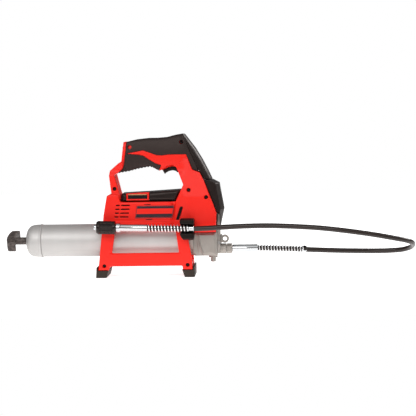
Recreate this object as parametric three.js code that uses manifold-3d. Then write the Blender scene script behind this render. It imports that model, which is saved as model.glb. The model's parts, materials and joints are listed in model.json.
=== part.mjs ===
// Cordless grease gun that stands on two rubber feet, with a whip hose that is clipped to its side.
// Millimetres, +Z up. +X points from the T-handle to the hose outlet, and the hose is clipped on the
// -Y side. Every shape is drawn on the gun's own middle plane, y = 0, and the finished group is then
// moved so that its origin is under the middle of the gun, on the surface that it stands on.
import * as THREE from 'three';
import { mergeVertices } from 'three/addons/utils/BufferGeometryUtils.js';
import Module from 'manifold-3d';

const wasm = await Module();
wasm.setup();

// ---- Driving dimensions -------------------------------------------------------------------------
const GAP = 0.3;                    // clearance between pieces that touch
const SHIFT_Y = 12;                 // moves the middle of the gun's depth, clip included, to y = 0

const HANDLE_HALF = 21;             // half widths, measured across the gun
const CORE_HALF = 18.2;
const STRUT_HALF = 25;
const BODY_HALF = 31;
const COLUMN_HALF = 33.5;
const COLUMN_TOP_HALF = 25;
const FRONT_COVER_HALF = 23;
const CRANK_COVER_HALF = 26;
const FRAME_HALF = 36;
const FRAME_INNER = 30.4;
const SHELL_WALL = 3;
const FLOOR_Z = 96.4;               // floor of the motor room, just above the barrel

const BARREL_Z = 64.6;              // barrel for a 14 oz cartridge
const BARREL_R = 29;
const BARREL_BORE = 27.6;
const BARREL_LEFT = -147;
const BARREL_RIGHT = 117.5;
const CAP_RIM_X = -136;
const CAP_R = 30.2;

const DRIVE_Z = 115;                // motor, gears and crank turn about this line
const MOTOR_R = 16.5;
const MOTOR_LEFT = 12;
const MOTOR_RIGHT = 60;
const GEAR_MODULE = 0.8;
const SUN_TEETH = 12;
const PLANET_TEETH = 12;
const RING_TEETH = 36;
const PLANET_ORBIT = GEAR_MODULE * (SUN_TEETH + PLANET_TEETH) / 2;
const GEAR_LEFT = 66;
const GEAR_WIDTH = 10;
const GEAR_RIGHT = GEAR_LEFT + GEAR_WIDTH;
const CRANK_THROW = 3.5;
const CRANK_PIN_R = 2.4;
const CRANK_X = 141;
const YOKE_WIDE = 6.3;              // half sizes of the window that the crank pin turns in, with room
const YOKE_HIGH = 9.8;              // for the pin's whole circle at both ends of the plunger's stroke
const PLUNGER_X = 151.5;
const PLUNGER_R = 4.75;

const HEAD_LEFT = 131;              // pump head casting
const HEAD_RIGHT = 176.5;
const HEAD_HALF = 24;
const HEAD_LOW = 36;
const HEAD_TOP = 78.3;
const OUTLET_Z = 46.9;
const OUTLET_END = 192.2;
const ADAPTER_END = 202;
const FLANGE_RIGHT = 181.6;         // upright flange between the housing and the crank cover
const EYE = [189.4, 64.2];          // strap eye, x and z
const EYE_BOLT = [179.4, 59.4];

const HOSE_R = 4.5;                 // whip hose, 9 mm outside
const HOSE_BORE_R = 4.85;
const FERRULE_END = 248;
const GUARD_END = 329.5;
const COLLAR_LENGTH = 6;
const SIDE_Y = -53;                 // the hose's far end is clipped this far from the middle plane
const COUPLER_RIGHT = 136.9;        // right end of the coupler's collar
const COUPLER_Z = 87.2;
const CLIP_LEFT = 112.5;
const CLIP_LONG = 25;
const COUPLER_TILT = 1.4;           // degrees, the coupler's mouth is slightly higher

const BATTERY_LEFT = 10;
const BATTERY_RIGHT = 82;
const BATTERY_LOW = 200.5;
const BATTERY_TOP = 236;
const BATTERY_HALF = 15.2;

const COLOURS = {
  red: [0.93, 0.09, 0.06, 0.35, 0],
  black: [0.055, 0.047, 0.045, 0.6, 0],
  rubber: [0.05, 0.045, 0.042, 0.8, 0],
  barrel: [0.66, 0.65, 0.64, 0.42, 0.8],
  casting: [0.5, 0.48, 0.46, 0.55, 0.8],
  zinc: [0.78, 0.79, 0.8, 0.25, 1],
  steel: [0.6, 0.6, 0.61, 0.3, 1],
  copper: [0.5, 0.3, 0.16, 0.4, 0.9],
  lens: [0.03, 0.03, 0.035, 0.12, 0],
  plate: [0.2, 0.2, 0.22, 0.4, 0.3],
};

// ---- Solids: joins and cuts ---------------------------------------------------------------------
function solidOf(source) {
  const geometry = source.clone();
  geometry.deleteAttribute('normal');
  geometry.deleteAttribute('uv');
  const merged = mergeVertices(geometry, 1e-4);
  const index = Array.from(merged.index.array);
  const triangles = [];
  for (let i = 0; i < index.length; i += 3) {
    const [a, b, c] = index.slice(i, i + 3);
    if (a !== b && b !== c && a !== c) {
      triangles.push(a, b, c);
    }
  }
  return new wasm.Manifold(new wasm.Mesh({
    numProp: 3,
    vertProperties: new Float32Array(merged.attributes.position.array),
    triVerts: new Uint32Array(triangles),
  }));
}

function geometryOf(solid) {
  const mesh = solid.getMesh();
  const geometry = new THREE.BufferGeometry();
  geometry.setAttribute('position', new THREE.BufferAttribute(new Float32Array(mesh.vertProperties), 3));
  geometry.setIndex(Array.from(mesh.triVerts));
  geometry.computeVertexNormals();
  return geometry;
}

const join = (...solids) => solids.reduce((sum, solid) => sum.add(solid));
const cut = (body, ...tools) => tools.reduce((left, tool) => left.subtract(tool), body);

// ---- Shapes -------------------------------------------------------------------------------------
function shapeOf(points) {
  return new THREE.Shape(points.map(([a, b]) => new THREE.Vector2(a, b)));
}

function extruded(shape, depth, bevel, steps = 2) {
  return new THREE.ExtrudeGeometry(shape, {
    depth: depth - 2 * bevel,
    bevelEnabled: bevel > 0,
    bevelThickness: bevel,
    bevelSize: bevel,
    bevelOffset: -bevel,
    bevelSegments: steps,
  }).translate(0, 0, bevel);
}

// An outline in x and z, made solid from y = low to y = high.
function plate(points, low, high, bevel = 0, steps = 2) {
  const geometry = extruded(shapeOf(points), high - low, bevel, steps);
  return solidOf(geometry.rotateX(Math.PI / 2).translate(0, high, 0));
}

// An outline in y and z, made solid from x = low to x = high.
function section(points, low, high, bevel = 0, steps = 2, holes = []) {
  const shape = shapeOf(points);
  shape.holes.push(...holes);
  const geometry = extruded(shape, high - low, bevel, steps);
  geometry.applyMatrix4(new THREE.Matrix4().makeBasis(
    new THREE.Vector3(0, 1, 0), new THREE.Vector3(0, 0, 1), new THREE.Vector3(1, 0, 0)));
  return solidOf(geometry.translate(low, 0, 0));
}

function block(low, high) {
  const size = high.map((value, i) => value - low[i]);
  const middle = high.map((value, i) => (value + low[i]) / 2);
  return solidOf(new THREE.BoxGeometry(...size).translate(...middle));
}

const TURN_TO = {
  x: (geometry) => geometry.rotateZ(-Math.PI / 2),
  y: (geometry) => geometry,
  z: (geometry) => geometry.rotateX(Math.PI / 2),
};

// A profile of [radius, place along the axis] points, turned about x, y or z.
function turned(profile, axis, centre = [0, 0, 0], segments = 24) {
  const points = profile.map(([radius, along]) => new THREE.Vector2(radius, along));
  if (THREE.ShapeUtils.area(points) < 0) {
    points.reverse();
  }
  if (Math.min(points[0].x, points.at(-1).x) > 0) {
    points.push(points[0].clone());
  }
  const geometry = TURN_TO[axis](new THREE.LatheGeometry(points, segments));
  return solidOf(geometry.translate(...centre));
}

function bar(radius, low, high, axis, centre = [0, 0, 0], segments = 24) {
  return turned([[0, low], [radius, low], [radius, high], [0, high]], axis, centre, segments);
}

function ring(outer, inner, low, high, axis, centre = [0, 0, 0], segments = 24) {
  return turned([[inner, low], [outer, low], [outer, high], [inner, high]], axis, centre, segments);
}

function circle(radius, sides, phase = 0) {
  return Array.from({ length: sides }, (_, i) => {
    const angle = phase + i * 2 * Math.PI / sides;
    return [radius * Math.cos(angle), radius * Math.sin(angle)];
  });
}

// A round tube along a curve; a bore above zero makes it a sleeve.
function tubeAlong(curve, steps, outer, bore = 0, sides = 10) {
  const shape = shapeOf(circle(outer, sides));
  if (bore > 0) {
    shape.holes.push(new THREE.Path(circle(bore, sides).map(([a, b]) => new THREE.Vector2(a, b))));
  }
  return solidOf(new THREE.ExtrudeGeometry(shape, { steps, extrudePath: curve, bevelEnabled: false }));
}

const mirrored = (solid) => solid.mirror([0, 1, 0]);
const HALF_SPACE = block([-300, -100, -20], [300, -GAP / 2, 300]);
const nearHalf = (solid) => solid.intersect(HALF_SPACE);

// ---- The group of named pieces ------------------------------------------------------------------
const gun = new THREE.Group();
gun.position.set(0, SHIFT_Y, 0);

function add(name, solid, colour, parent = gun) {
  const [r, g, b, roughness, metalness] = COLOURS[colour];
  const material = new THREE.MeshStandardMaterial({ roughness, metalness });
  material.color.setRGB(r, g, b);
  const mesh = new THREE.Mesh(geometryOf(solid), material);
  mesh.name = name;
  parent.add(mesh);
  return mesh;
}

// ---- Side outlines, x and z ---------------------------------------------------------------------
const HANDLE_TOP = [[35, 243.8], [56, 245.9], [72, 245.9], [89, 247.1], [103, 250.7], [112, 252.7]];
const GRIP_UNDER = [[2, 184.4], [22, 187.5], [34, 190.7], [48.5, 193.5], [59, 194.9],
  [66.5, 192.6], [74, 188.4]];
const ACCENT_UNDER = [[79, 197.6], [70, 200.4], [55.6, 209.3], [48.3, 214.4], [41, 216.7], [19.6, 218.5]];
const ACCENT_TOP = [[19.6, 220], [36.6, 222.8], [47, 224.8], [55.7, 221.8], [70.4, 216.2], [80.7, 215.4],
  [94, 217], [123.3, 217]];
const COLUMN_EDGE = [[127, 209], [131, 197.8], [134.8, 189.6], [143.8, 186]];
const RED_FRONT = [[147, 184.5], [155.5, 167.5], [163, 147.5], [171, 127], [176, 111.5],
  [174.8, 93.3], [174.7, 78.7]];
const FRONT_EDGE = [[121.5, 251.8], [139.8, 227.5], [152, 207], [162.4, 186.5], [169.2, 171.5]];
const SEAM = [[144, 190.4], [118.6, 248.6], [118.6, 252.8]];   // between the grip and the front cover
const RIM_INNER = [[18.4, 240], [16.8, 225], [12.8, 198.7], [10.6, 192]];
const STRUT_BACK = [[8.4, 205.4], [3.6, 202.6], [-12.2, 189.2], [-13.8, 180.4], [-10.4, 151.1], [-10, 148.2]];
const TRIGGER_RECESS = [[104.2, 196.4], [98.2, 198.8], [89.2, 195.8], [79, 189.3], [74.6, 187.5]];

const gripOutline = [
  ...GRIP_UNDER, ...ACCENT_UNDER, ...ACCENT_TOP, ...COLUMN_EDGE,
  ...SEAM.map(([x, z]) => [x - GAP / 2, z]), ...[...HANDLE_TOP].reverse(), ...RIM_INNER,
];

// Screw places: x, z and the depth of the head below the widest face, with that face's half width.
const SCREWS = {
  handle_front: [115.3, 238.4, CORE_HALF],
  strut: [-4.2, 157.2, STRUT_HALF],
  column_upper: [127.6, 153.8, COLUMN_HALF],
  column_lower: [158.2, 140.8, COLUMN_HALF],
  foot_rear: [-24, 21, FRAME_HALF],
  foot_front: [123.9, 21.5, FRAME_HALF],
};
const SCREW_HEAD_R = 3;
const SHELL_WINDOW = [23.5, 230.7];   // hole in the grip that shows the red shell below it
const SCREW_SINK = 6;
const VENT_ROWS = [128, 121.2, 114.4, 107.6];
const VENT_HALF = 1.1;
const VENT_LEFT = -1.9;               // each lower row starts 1 mm further left

// ---- Housing: two red shells --------------------------------------------------------------------
function handleCore(margin) {
  const top = HANDLE_TOP.map(([x, z]) => [x, z - 2.8 + margin]).reverse();
  const under = GRIP_UNDER.slice(1).map(([x, z]) => [x, z + 2.8 - margin]);
  const outline = [[14 - margin, 190.5 - margin], ...under, [81, 188.5 - margin], [89, 192.6 - margin],
    [98, 195.6 - margin], [140 + margin, 186], [115 + margin, 246], ...top, [20 - margin, 237.2 + margin],
    [15.5 - margin, 215]];
  return plate(outline, -CORE_HALF - margin, CORE_HALF + margin, 5);
}

// The rounded outer form of the whole handle; the grip, accent and rim are all cut from it.
function handleForm() {
  const outline = [[11.6, 240], [0, 184], ...GRIP_UNDER.slice(1, -1), [84, 180], [154, 180], [119.5, 253.4],
    ...[...HANDLE_TOP.slice(0, -1)].reverse()];
  return plate(outline, -HANDLE_HALF, HANDLE_HALF, 5, 3);
}

function accentAndRim() {
  const rim = [[12.6, 239.8], ...STRUT_BACK.slice(0, 2), [2, 187.5], [1.6, 184.7], [10.3, 192.3],
    [12.5, 198.8], [16.5, 225], [17.9, 239.8]];
  const accent = [[105, 194], ...TRIGGER_RECESS.slice(1), ...ACCENT_UNDER.map(([x, z]) => [x + GAP, z + GAP]),
    ...ACCENT_TOP.map(([x, z]) => [x, z - GAP]), [126.7, 208.8], [130.7, 197.6], [134.4, 189.2],
    [143.6, 185.6], [120, 182]];
  const parts = [rim, accent].map((outline) => plate(outline, -HANDLE_HALF, HANDLE_HALF));
  return join(...parts).intersect(handleForm());
}

function strut() {
  const outline = [...STRUT_BACK, [-6, 140], [7.2, 140], [4, 150], [-4, 182], [1.6, 184.7], [10.3, 192.3],
    [12, 204]];
  return plate(outline, -STRUT_HALF, STRUT_HALF, 1.2, 1);
}

function body() {
  const outline = [[-18, 145.2], [-24.6, 109.8], [-26.4, 90], [110, 90], [112, 134], [7, 134], [2, 148],
    [-10, 148.2]];
  return plate(outline, -BODY_HALF, BODY_HALF, 3);
}

// The column narrows from the crank room up to the handle.
const COLUMN_TAPER = [[COLUMN_HALF, 60], [COLUMN_HALF, 142], [COLUMN_TOP_HALF + 1, 184],
  [HANDLE_HALF + 0.4, 212]];

function column() {
  const outline = [[100, 90], [104, 134], [114, 154.4], [118, 163.2], [111, 181.6], [104.5, 196], [120, 208],
    [126.7, 208.8], [130.7, 197.6], [134.4, 189.2], [143.6, 185.6], ...RED_FRONT, [124, 78.7], [124, 90]];
  const across = [...COLUMN_TAPER, ...COLUMN_TAPER.map(([y, z]) => [-y, z]).reverse()];
  return plate(outline, -COLUMN_HALF, COLUMN_HALF, 1.5, 1).intersect(section(across, 90, 200));
}

function sideFrames() {
  const outer = [[-34.8, 13.3], [-31.6, 42], [-28, 73.8], [-24.8, 99], [122, 99], [126, 66], [131.2, 37],
    [132.9, 13.3], [116, 13.3], [114.2, 20.2], [-13.5, 20.2], [-16, 13.3]];
  const window = [[-9.8, 43.6], [-4.4, 78.7], [-3.2, 90], [103, 90], [104.4, 78], [108.8, 43.6]];
  const side = cut(
    plate(outer, -FRAME_HALF, -FRAME_INNER, 1.2, 1),
    plate(window, -FRAME_HALF - 1, -FRAME_INNER + 1),
  );
  const footBar = (left, right) => block([left, -FRAME_HALF + 1.5, 13.3], [right, FRAME_HALF - 1.5, 25]);
  return join(side, mirrored(side), footBar(-32, -18), footBar(117.5, 131));
}

function housingCavities() {
  const battery = block([-10, -15.7, 199.9], [86, 15.7, 236.6]);
  const trigger = join(
    block([76, -8.2, 178], [112.5, 8.2, 202]),
    block([84, -12.5, 200], [118, 12.5, 236.6]),
  );
  const wireWay = block([116, -9, 140], [128, 9, 204]);
  const motor = plate([[-12, 131.5], [-18.5, 110], [-17.5, FLOOR_Z], [112, FLOOR_Z], [112, 130], [101, 134],
    [99, 140], [14, 140], [12, 131.5]], -BODY_HALF + SHELL_WALL, BODY_HALF - SHELL_WALL);
  const crankRoom = plate([[104, FLOOR_Z], [108, 128], [121, 157], [117, 180], [130, 184], [146, 180],
    [152, 166], [167, 127], [172, 111], [171.5, 70], [128, 70], [128, FLOOR_Z]],
  -COLUMN_TOP_HALF + SHELL_WALL, COLUMN_TOP_HALF - SHELL_WALL);
  const flangeRoom = block([170, -17.4, 70], [178, 17.4, 112.2]);
  const barrelRoom = bar(BARREL_R + 0.7, -60, 200, 'x', [0, 0, BARREL_Z], 36);
  return [battery, trigger, wireWay, motor, crankRoom, flangeRoom, barrelRoom];
}

function screwBosses() {
  return Object.values(SCREWS).map(([x, z, half]) => bar(4.9, -half + 4, half - 4, 'y', [x, 0, z], 16));
}

function screwHoles() {
  return Object.values(SCREWS).flatMap(([x, z, half]) => [
    bar(1.9, -half - 10, half - 4.5, 'y', [x, 0, z], 12),
    bar(3.6, -half - 10, -half + SCREW_SINK + 2.6, 'y', [x, 0, z], 16),
  ]);
}

function sideDetails() {
  const cuts = [];
  for (const [row, z] of VENT_ROWS.entries()) {
    const left = VENT_LEFT - row;
    for (const [start, end] of [[0, 7.5], [9.5, 25.5]]) {
      cuts.push(block([left + start, -40, z - VENT_HALF], [left + end, 40, z + VENT_HALF]));
    }
  }
  const slot = [[112.6, 124.4], [117.1, 124.4], [109.4, 102], [104.9, 102]];
  cuts.push(plate(slot, -40, -COLUMN_HALF + 4.2), plate(slot, COLUMN_HALF - 4.2, 40));
  const platePocket = [[31.7, 104.7], [35.4, 127], [102, 127], [98.3, 104.7]];
  cuts.push(plate(platePocket, -40, -BODY_HALF + 1));
  for (const [left, low] of [[48.2, 128.2], [50.6, 101.4]]) {
    cuts.push(block([left, -40, low], [left + 12.4, -BODY_HALF + 0.9, low + 1.6]));
  }
  return cuts;
}

const housing = cut(
  join(
    cut(join(handleCore(0), accentAndRim(), strut(), body(), column(), sideFrames()), ...housingCavities()),
    ...screwBosses(),
  ),
  block([-10, -15.7, 199.9], [20, 15.7, 236.6]),
  block([103, -12.5, 203], [118, 12.5, 233]),
  bar(BARREL_R + 0.7, -60, 200, 'x', [0, 0, BARREL_Z], 36),
  ...screwHoles(),
  ...sideDetails(),
);
add('housing_near', nearHalf(housing), 'red');
add('housing_far', mirrored(nearHalf(mirrored(housing))), 'red');

// ---- Grip: soft black sleeves over both handle halves -------------------------------------------
const grip = cut(
  plate(gripOutline, -HANDLE_HALF, HANDLE_HALF).intersect(handleForm()),
  handleCore(GAP),
  ...[-1, 1].flatMap((side) => [SHELL_WINDOW, SCREWS.handle_front].map(
    ([x, z]) => bar(3.6, 10, 30, 'y', [x, side < 0 ? -40 : 0, z], 16))),
  block([76, -8.5, 178], [90, 8.5, 200]),
  bar(5.2, -14.5, 14.5, 'y', [SCREWS.handle_front[0], 0, SCREWS.handle_front[1]], 16),
  block([-10, -15.7, 199.9], [30, 15.7, 236.6]),
);
add('grip_near', nearHalf(grip), 'rubber');
add('grip_far', mirrored(nearHalf(mirrored(grip))), 'rubber');

// ---- Front cover and crank cover ----------------------------------------------------------------
const coverSeam = SEAM.map(([x, z]) => [x + GAP / 2, z]);
const coverOutline = [...coverSeam, ...FRONT_EDGE, [156.4, 171.8], [148, 184.6]];
add('front_cover', cut(
  plate(coverOutline, -FRONT_COVER_HALF, FRONT_COVER_HALF),
  plate([[110, 238], [124, 237], [138, 214], [151, 190], [156.6, 174], [140, 174], [118, 220]], -20, 20),
), 'black');

const crankCoverOutline = [[156, 171.2], [169.2, 171.2], [181.4, 164.7], [183, 153.4], [186.9, 133],
  [189.4, 118.5], [185.6, 102], [183, 89], [182, 89], [182, 113], [176.4, 113], [171.4, 127.2],
  [163.4, 147.7], [155.9, 167.7]];
add('crank_cover', cut(
  plate(crankCoverOutline, -CRANK_COVER_HALF, CRANK_COVER_HALF),
  plate([[163, 168], [170, 166], [177, 160], [180, 140], [184, 118], [182, 112], [176, 112], [163, 146]],
    -22, 22),
), 'black');

// ---- Deck cover with charge gauge ---------------------------------------------------------------
const deckOutline = [[7.6, 134.4], [8.4, 148.6], [55, 150.6], [113.2, 153.9], [103.9, 134.4]];
add('deck_cover', cut(
  plate(deckOutline, -27, 27, 6, 3),
  plate([[12, 134], [12, 145.4], [55, 147.4], [106, 150], [99, 134]], -22, 22),
  block([16.2, -40, 135.6], [57.8, -17, 160]),
), 'black');
add('gauge_bezel', cut(
  plate([[16.5, 135.9], [16.5, 148.8], [57.5, 150.6], [57.5, 135.9]], -26.8, -17.3, 2),
  block([19.6, -30, 139], [54, -24.3, 147.8]),
), 'red');
add('gauge_lens', block([19.9, -25.6, 139.3], [53.7, -24.6, 147.5]), 'lens');
add('nameplate', plate([[32.3, 105.2], [35.9, 126.6], [101.4, 126.6], [97.8, 105.2]],
  -BODY_HALF - 0.4, -BODY_HALF + 0.7), 'plate');

// ---- Rubber feet --------------------------------------------------------------------------------
function foot(left, right, outerSide) {
  const outline = outerSide < 0
    ? [[left - 1.4, 0], [right - 3, 0], [right, 13], [left + 2, 13], [left + 1.8, 18.8], [left - 0.4, 18.8]]
    : [[left + 4.6, 0], [right + 1.4, 0], [right + 1.4, 18.8], [right - 0.9, 18.8], [right - 1.3, 13],
      [left, 13]];
  return plate(outline, -FRAME_HALF - 1, FRAME_HALF + 1, 0.8, 1);
}
add('foot_rear', foot(-37.6, -17.2, -1), 'rubber');
add('foot_front', foot(114, 134.6, 1), 'rubber');

// ---- Hose clip on the near side -----------------------------------------------------------------
function clipSection() {
  const low = COUPLER_Z - 19.5;
  const high = COUPLER_Z + 17.7;
  return [[-36.4, low + 4], [-36.4, high], [SIDE_Y - 3, high], [SIDE_Y - 8, high - 3],
    [SIDE_Y - 8, high - 8.4], [SIDE_Y - 2, high - 9.9], [-42, COUPLER_Z + 3], [-42, COUPLER_Z - 3],
    [SIDE_Y - 2, low + 12.6], [SIDE_Y - 8, low + 10.5], [SIDE_Y - 8, low + 3], [SIDE_Y - 3, low]];
}
add('hose_clip', cut(
  section(clipSection(), CLIP_LEFT, CLIP_LEFT + CLIP_LONG, 1.5, 1),
  bar(7.9, 100, 150, 'x', [0, SIDE_Y, COUPLER_Z]),
), 'black');

// ---- Trigger, its spring and the switch ---------------------------------------------------------
const TRIGGER_PIVOT = [109, 198];
add('trigger', cut(
  plate([[79.4, 190.4], [84.4, 181.4], [86.6, 183.6], [92, 186.6], [98.6, 187.9], [104, 186.6],
    [107.4, 183.6], [110, 190], [111.5, 197], [109, 200.5], [98, 199], [88, 197], [81.5, 194.6]],
  -7.4, 7.4, 1.5),
  bar(1.8, -10, 10, 'y', [TRIGGER_PIVOT[0], 0, TRIGGER_PIVOT[1]], 12),
), 'black');
add('trigger_spring', ring(3, 2.2, 202.5, 207.4, 'z', [92, 0, 0], 12), 'steel');
add('switch_body', block([86.5, -10, 207.8], [114, 10, 228]), 'black');

// ---- Battery pack in the handle -----------------------------------------------------------------
const packBody = plate([[BATTERY_LEFT + 3, BATTERY_LOW], [BATTERY_LEFT + 4.5, BATTERY_TOP],
  [BATTERY_RIGHT, BATTERY_TOP], [BATTERY_RIGHT, BATTERY_LOW]], -BATTERY_HALF, BATTERY_HALF, 3);
const packFace = plate([[8.8, 205.6], [12.2, 236], [16.5, 236], [12.9, 205.6]], -BATTERY_HALF, BATTERY_HALF,
  1.5);
const latchPocket = block([5, -7.6, 221.3], [14.6, 7.6, 231]);
const CONTACTS = [-8, 0, 8];             // y of the battery's three blades
const contactSlots = CONTACTS.map((y) => block(
  [BATTERY_RIGHT - 8, y - 1.3, 212], [BATTERY_RIGHT + 2, y + 1.3, 226]));
add('battery_pack', cut(join(packBody, packFace), latchPocket, ...contactSlots), 'black');
add('battery_latch', block([9.9, -7.2, 223.8], [14.2, 7.2, 230.6]), 'red');
add('terminal_block', join(
  block([82.6, -11.5, 204], [86, 11.5, 232]),
  ...CONTACTS.map((y) => block([BATTERY_RIGHT - 6, y - 0.7, 213], [83, y + 0.7, 225])),
), 'copper');

// ---- Motor and planet gears ---------------------------------------------------------------------
function gearOutline(teeth, inner) {
  const pitch = GEAR_MODULE * teeth / 2;
  const tip = pitch + (inner ? -0.7 : 0.7) * GEAR_MODULE;
  const root = pitch + (inner ? 1.15 : -1.15) * GEAR_MODULE;
  const step = 2 * Math.PI / teeth;
  const points = [];
  for (let i = 0; i < teeth; i += 1) {
    for (const [radius, part] of [[root, -0.29], [tip, -0.1], [tip, 0.1], [root, 0.29]]) {
      const angle = (i + part) * step;
      points.push([radius * Math.cos(angle), radius * Math.sin(angle)]);
    }
  }
  return points;
}

function gear(teeth, left, width, phase = 0) {
  const turn = (points) => points.map(([a, b]) => [
    a * Math.cos(phase) - b * Math.sin(phase), a * Math.sin(phase) + b * Math.cos(phase)]);
  return section(turn(gearOutline(teeth, false)), left, left + width);
}

const onDrive = (solid) => solid.translate([0, 0, DRIVE_Z]);
add('motor_can', onDrive(turned([[4.2, MOTOR_LEFT], [MOTOR_R, MOTOR_LEFT], [MOTOR_R, MOTOR_RIGHT],
  [4.2, MOTOR_RIGHT], [4.2, MOTOR_RIGHT - 3], [13.5, MOTOR_RIGHT - 3], [13.5, MOTOR_LEFT + 3],
  [4.2, MOTOR_LEFT + 3]], 'x', [0, 0, 0], 20)), 'steel');
add('motor_rotor', onDrive(join(
  turned([[0, 1], [2.4, 1], [2.4, 3], [14, 3], [14, 4.5], [5, 9], [2.4, 9.5], [2.4, 17], [12, 17], [12, 54],
    [2.4, 54], [2.4, GEAR_LEFT + 2], [0, GEAR_LEFT + 2]], 'x', [0, 0, 0], 16),
  gear(SUN_TEETH, GEAR_LEFT, GEAR_WIDTH),
)), 'copper');
const ringTeeth = new THREE.Path(gearOutline(RING_TEETH, true).map(([a, b]) => new THREE.Vector2(a, b)));
add('ring_gear', onDrive(
  section(circle(MOTOR_R, 24), GEAR_LEFT - 1, GEAR_RIGHT + 1, 0, 1, [ringTeeth]),
), 'steel');
const PLANETS = [0, 1, 2];
const planetPlace = (i) => {
  const angle = Math.PI / 2 + i * 2 * Math.PI / 3;
  return [PLANET_ORBIT * Math.cos(angle), DRIVE_Z + PLANET_ORBIT * Math.sin(angle)];
};
for (const i of PLANETS) {
  const [y, z] = planetPlace(i);
  add(`planet_gear_${i + 1}`, cut(
    gear(PLANET_TEETH, GEAR_LEFT, GEAR_WIDTH, Math.PI / PLANET_TEETH).translate([0, y, z]),
    bar(1.9, 0, 200, 'x', [0, y, z], 12),
  ), 'steel');
}
add('planet_carrier', join(
  onDrive(bar(13, GEAR_RIGHT + 1.5, GEAR_RIGHT + 6, 'x')),
  onDrive(bar(5, GEAR_RIGHT + 3, CRANK_X - 0.5, 'x')),
  ...PLANETS.map((i) => bar(1.6, GEAR_LEFT + 0.5, GEAR_RIGHT + 3, 'x', [0, ...planetPlace(i)], 12)),
), 'steel');
add('gear_case', onDrive(turned([[MOTOR_R, GEAR_RIGHT + 1.5], [MOTOR_R, 96], [9, 98], [9, 108], [12.5, 108.2],
  [12.5, 95.5], [MOTOR_R + 1.8, 93], [MOTOR_R + 1.8, GEAR_LEFT - 1.5], [MOTOR_R + 0.4, GEAR_LEFT - 1.5],
  [MOTOR_R + 0.4, GEAR_RIGHT + 1.5]], 'x', [0, 0, 0], 20)), 'casting');
add('shaft_bearing', onDrive(ring(8.6, 5.2, 99, 107, 'x')), 'steel');

// ---- Crank, yoke and pump plunger ---------------------------------------------------------------
add('crank', join(
  onDrive(bar(11, CRANK_X, CRANK_X + 4.6, 'x')),
  bar(CRANK_PIN_R, CRANK_X + 3, CRANK_X + 14, 'x', [0, CRANK_THROW, DRIVE_Z], 16),
), 'steel');
add('pump_plunger', join(
  cut(
    section([[-10, DRIVE_Z - 12.4], [10, DRIVE_Z - 12.4], [10, DRIVE_Z + 12.4], [-10, DRIVE_Z + 12.4]],
      CRANK_X + 6.5, CRANK_X + 13, 1),
    block([CRANK_X, -YOKE_WIDE, DRIVE_Z - YOKE_HIGH], [CRANK_X + 20, YOKE_WIDE, DRIVE_Z + YOKE_HIGH]),
  ),
  bar(PLUNGER_R, 57, DRIVE_Z - 10, 'z', [PLUNGER_X, 0, 0], 20),
), 'steel');

// ---- Pump head casting --------------------------------------------------------------------------
function pumpHead() {
  const side = [[HEAD_LEFT - 1, HEAD_LOW + 4], [HEAD_LEFT + 6, HEAD_LOW], [HEAD_RIGHT, HEAD_LOW],
    [HEAD_RIGHT, HEAD_TOP], [HEAD_LEFT - 1, HEAD_TOP]];
  const main = join(
    plate(side, -HEAD_HALF, HEAD_HALF, 4, 3),
    plate([[143, 41], [172, 41], [172, 74], [139, 74]], -HEAD_HALF - 1, HEAD_HALF + 1, 1),
    bar(BARREL_R - 0.2, BARREL_RIGHT + GAP, HEAD_LEFT + 3, 'x', [0, 0, BARREL_Z], 28),
    bar(27.1, BARREL_RIGHT - 10, BARREL_RIGHT + 4, 'x', [0, 0, BARREL_Z], 28),
    bar(11, HEAD_TOP - 4, 96, 'z', [PLUNGER_X, 0, 0]),
    block([HEAD_RIGHT - 3, -17, 40], [FLANGE_RIGHT, 17, 111.6]),
    bar(9, HEAD_RIGHT, OUTLET_END, 'x', [0, 0, OUTLET_Z]),
  );
  return cut(
    main,
    bar(PLUNGER_R + 0.1, 43, 120, 'z', [PLUNGER_X, 0, 0], 20),
    bar(4, 90, PLUNGER_X, 'x', [0, 0, BARREL_Z]),
    bar(2.5, PLUNGER_X, 200, 'x', [0, 0, OUTLET_Z], 16),
    bar(4.6, 177.5, 200, 'x', [0, 0, OUTLET_Z], 16),
    bar(3.3, 20, HEAD_LOW + 9, 'z', [168.2, 0, 0], 16),
    bar(1.9, -20, -10, 'y', [EYE_BOLT[0], 0, EYE_BOLT[1]], 12),
    ring(40, 25.6, BARREL_RIGHT - 6.4, BARREL_RIGHT - 3, 'x', [0, 0, BARREL_Z], 28),
  );
}
add('pump_head', pumpHead(), 'casting');
add('barrel_gasket', ring(27.2, 25.9, BARREL_RIGHT - 6.1, BARREL_RIGHT - 3.3, 'x', [0, 0, BARREL_Z], 28),
  'rubber');
add('check_ball', solidOf(new THREE.SphereGeometry(3.6, 12, 8).translate(181.4, 0, OUTLET_Z)), 'steel');
add('outlet_adapter', cut(
  join(
    section(circle(9, 6, Math.PI / 6).map(([y, z]) => [y, z + OUTLET_Z]), OUTLET_END + GAP, ADAPTER_END, 0.8),
    bar(4.3, 188.5, OUTLET_END + 2, 'x', [0, 0, OUTLET_Z], 16),
  ),
  bar(2, 180, 210, 'x', [0, 0, OUTLET_Z], 12),
), 'zinc');
add('bleeder_valve', join(
  bar(3, HEAD_LOW + 1, HEAD_LOW + 8.5, 'z', [168.2, 0, 0], 16),
  turned([[0, 23.6], [4, 23.6], [4.6, 24.4], [4.6, 30.6], [8, 31.6], [8, 35.6], [3, 35.7], [3, 38], [0, 38]],
    'z', [168.2, 0, 0], 14),
), 'casting');
add('strap_eye', cut(
  join(
    bar(7.4, -2.9, 2.9, 'y', [EYE[0], 0, EYE[1]], 20),
    section([[-8, 57.5], [8, 57.5], [8, 72], [-8, 72]], FLANGE_RIGHT + GAP, FLANGE_RIGHT + 2.8),
  ),
  bar(3.6, -9, 9, 'y', [EYE[0], 0, EYE[1]], 16),
), 'casting');
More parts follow.
